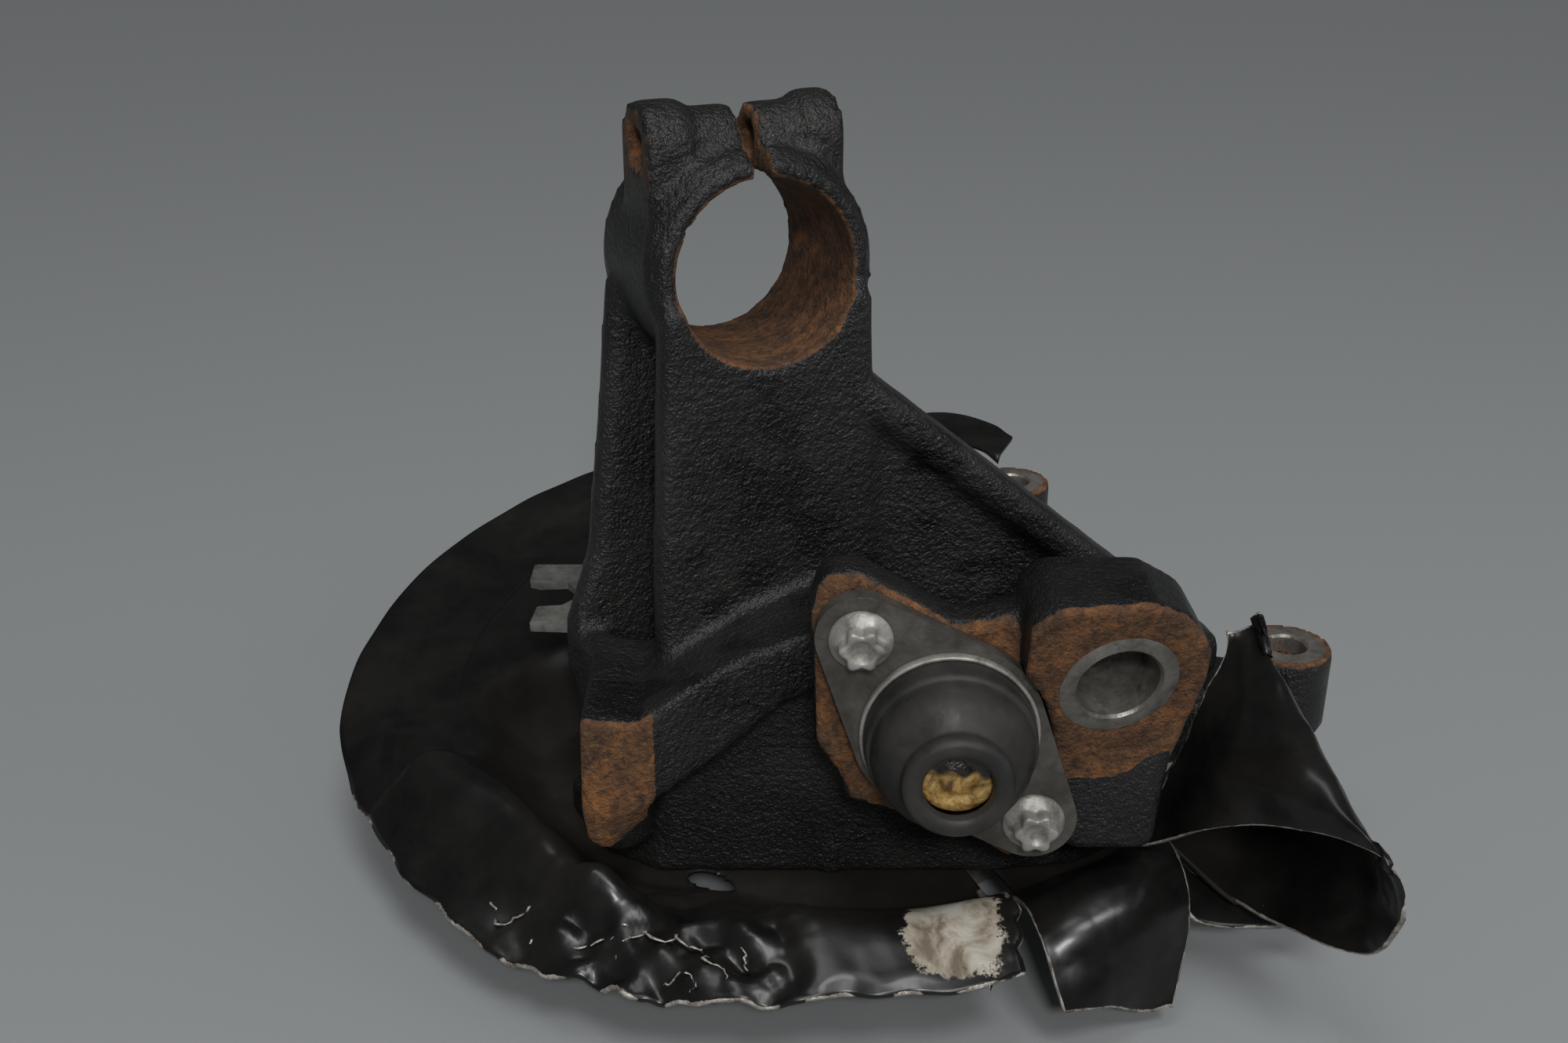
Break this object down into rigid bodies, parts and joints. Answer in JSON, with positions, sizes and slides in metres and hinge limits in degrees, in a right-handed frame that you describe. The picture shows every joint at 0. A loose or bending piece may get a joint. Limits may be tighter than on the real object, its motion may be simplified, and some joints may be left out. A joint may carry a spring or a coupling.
{
  "type": "steering knuckle with wheel hub",
  "caption": "Cast steering knuckle with a split strut clamp, caliper ears, a bolted ball joint, a torn dust shield and a wheel hub turning in its sealed bearing.",
  "frame": {"origin": "on the hub axis, at the wheel mounting face of the hub flange", "axes": "+Z along the hub axis towards the inboard side, -Y towards the ball joint, +X towards the first caliper ear"},
  "size_m": [0.3338, 0.331, 0.259],
  "materials": {
    "cast_black": "sand cast, near black, rust on bare faces",
    "machined_steel": "machined grey steel",
    "grey_cap": "dull grey pressed steel",
    "rubber_black": "matte black",
    "joint_grey": "forged grey steel",
    "liner_brown": "golden brown liner",
    "bolt_silver": "silver grey plated",
    "galvanised": "galvanised sheet, a rust spot on one prong",
    "shield_black": "gloss black paint, torn edges bare"
  },
  "bodies": {
    "carrier": {"knuckle_casting": "cast_black", "bearing_outer_ring": "machined_steel", "bearing_snap_ring": "machined_steel", "bearing_rear_cap": "grey_cap", "bearing_seal_outboard": "rubber_black", "bearing_seal_inboard": "rubber_black", "ball_joint_housing": "joint_grey", "ball_joint_socket_liner": "liner_brown", "ball_joint_boot": "rubber_black", "boot_retaining_ring": "machined_steel", "ball_joint_bolt_upper": "bolt_silver", "ball_joint_bolt_lower": "bolt_silver", "line_bracket": "galvanised", "line_bracket_bolt": "bolt_silver", "dust_shield": "shield_black", "shield_screws": "bolt_silver"},
    "hub": {"wheel_hub_flange": "machined_steel", "bearing_inner_ring": "machined_steel"}
  },
  "joints": [
    {"name": "hub_spin", "type": "hinge", "parent": "carrier", "child": "hub", "pos_m": [0, 0, 0.048], "axis": [0, 0, 1], "continuous": true}
  ]
}
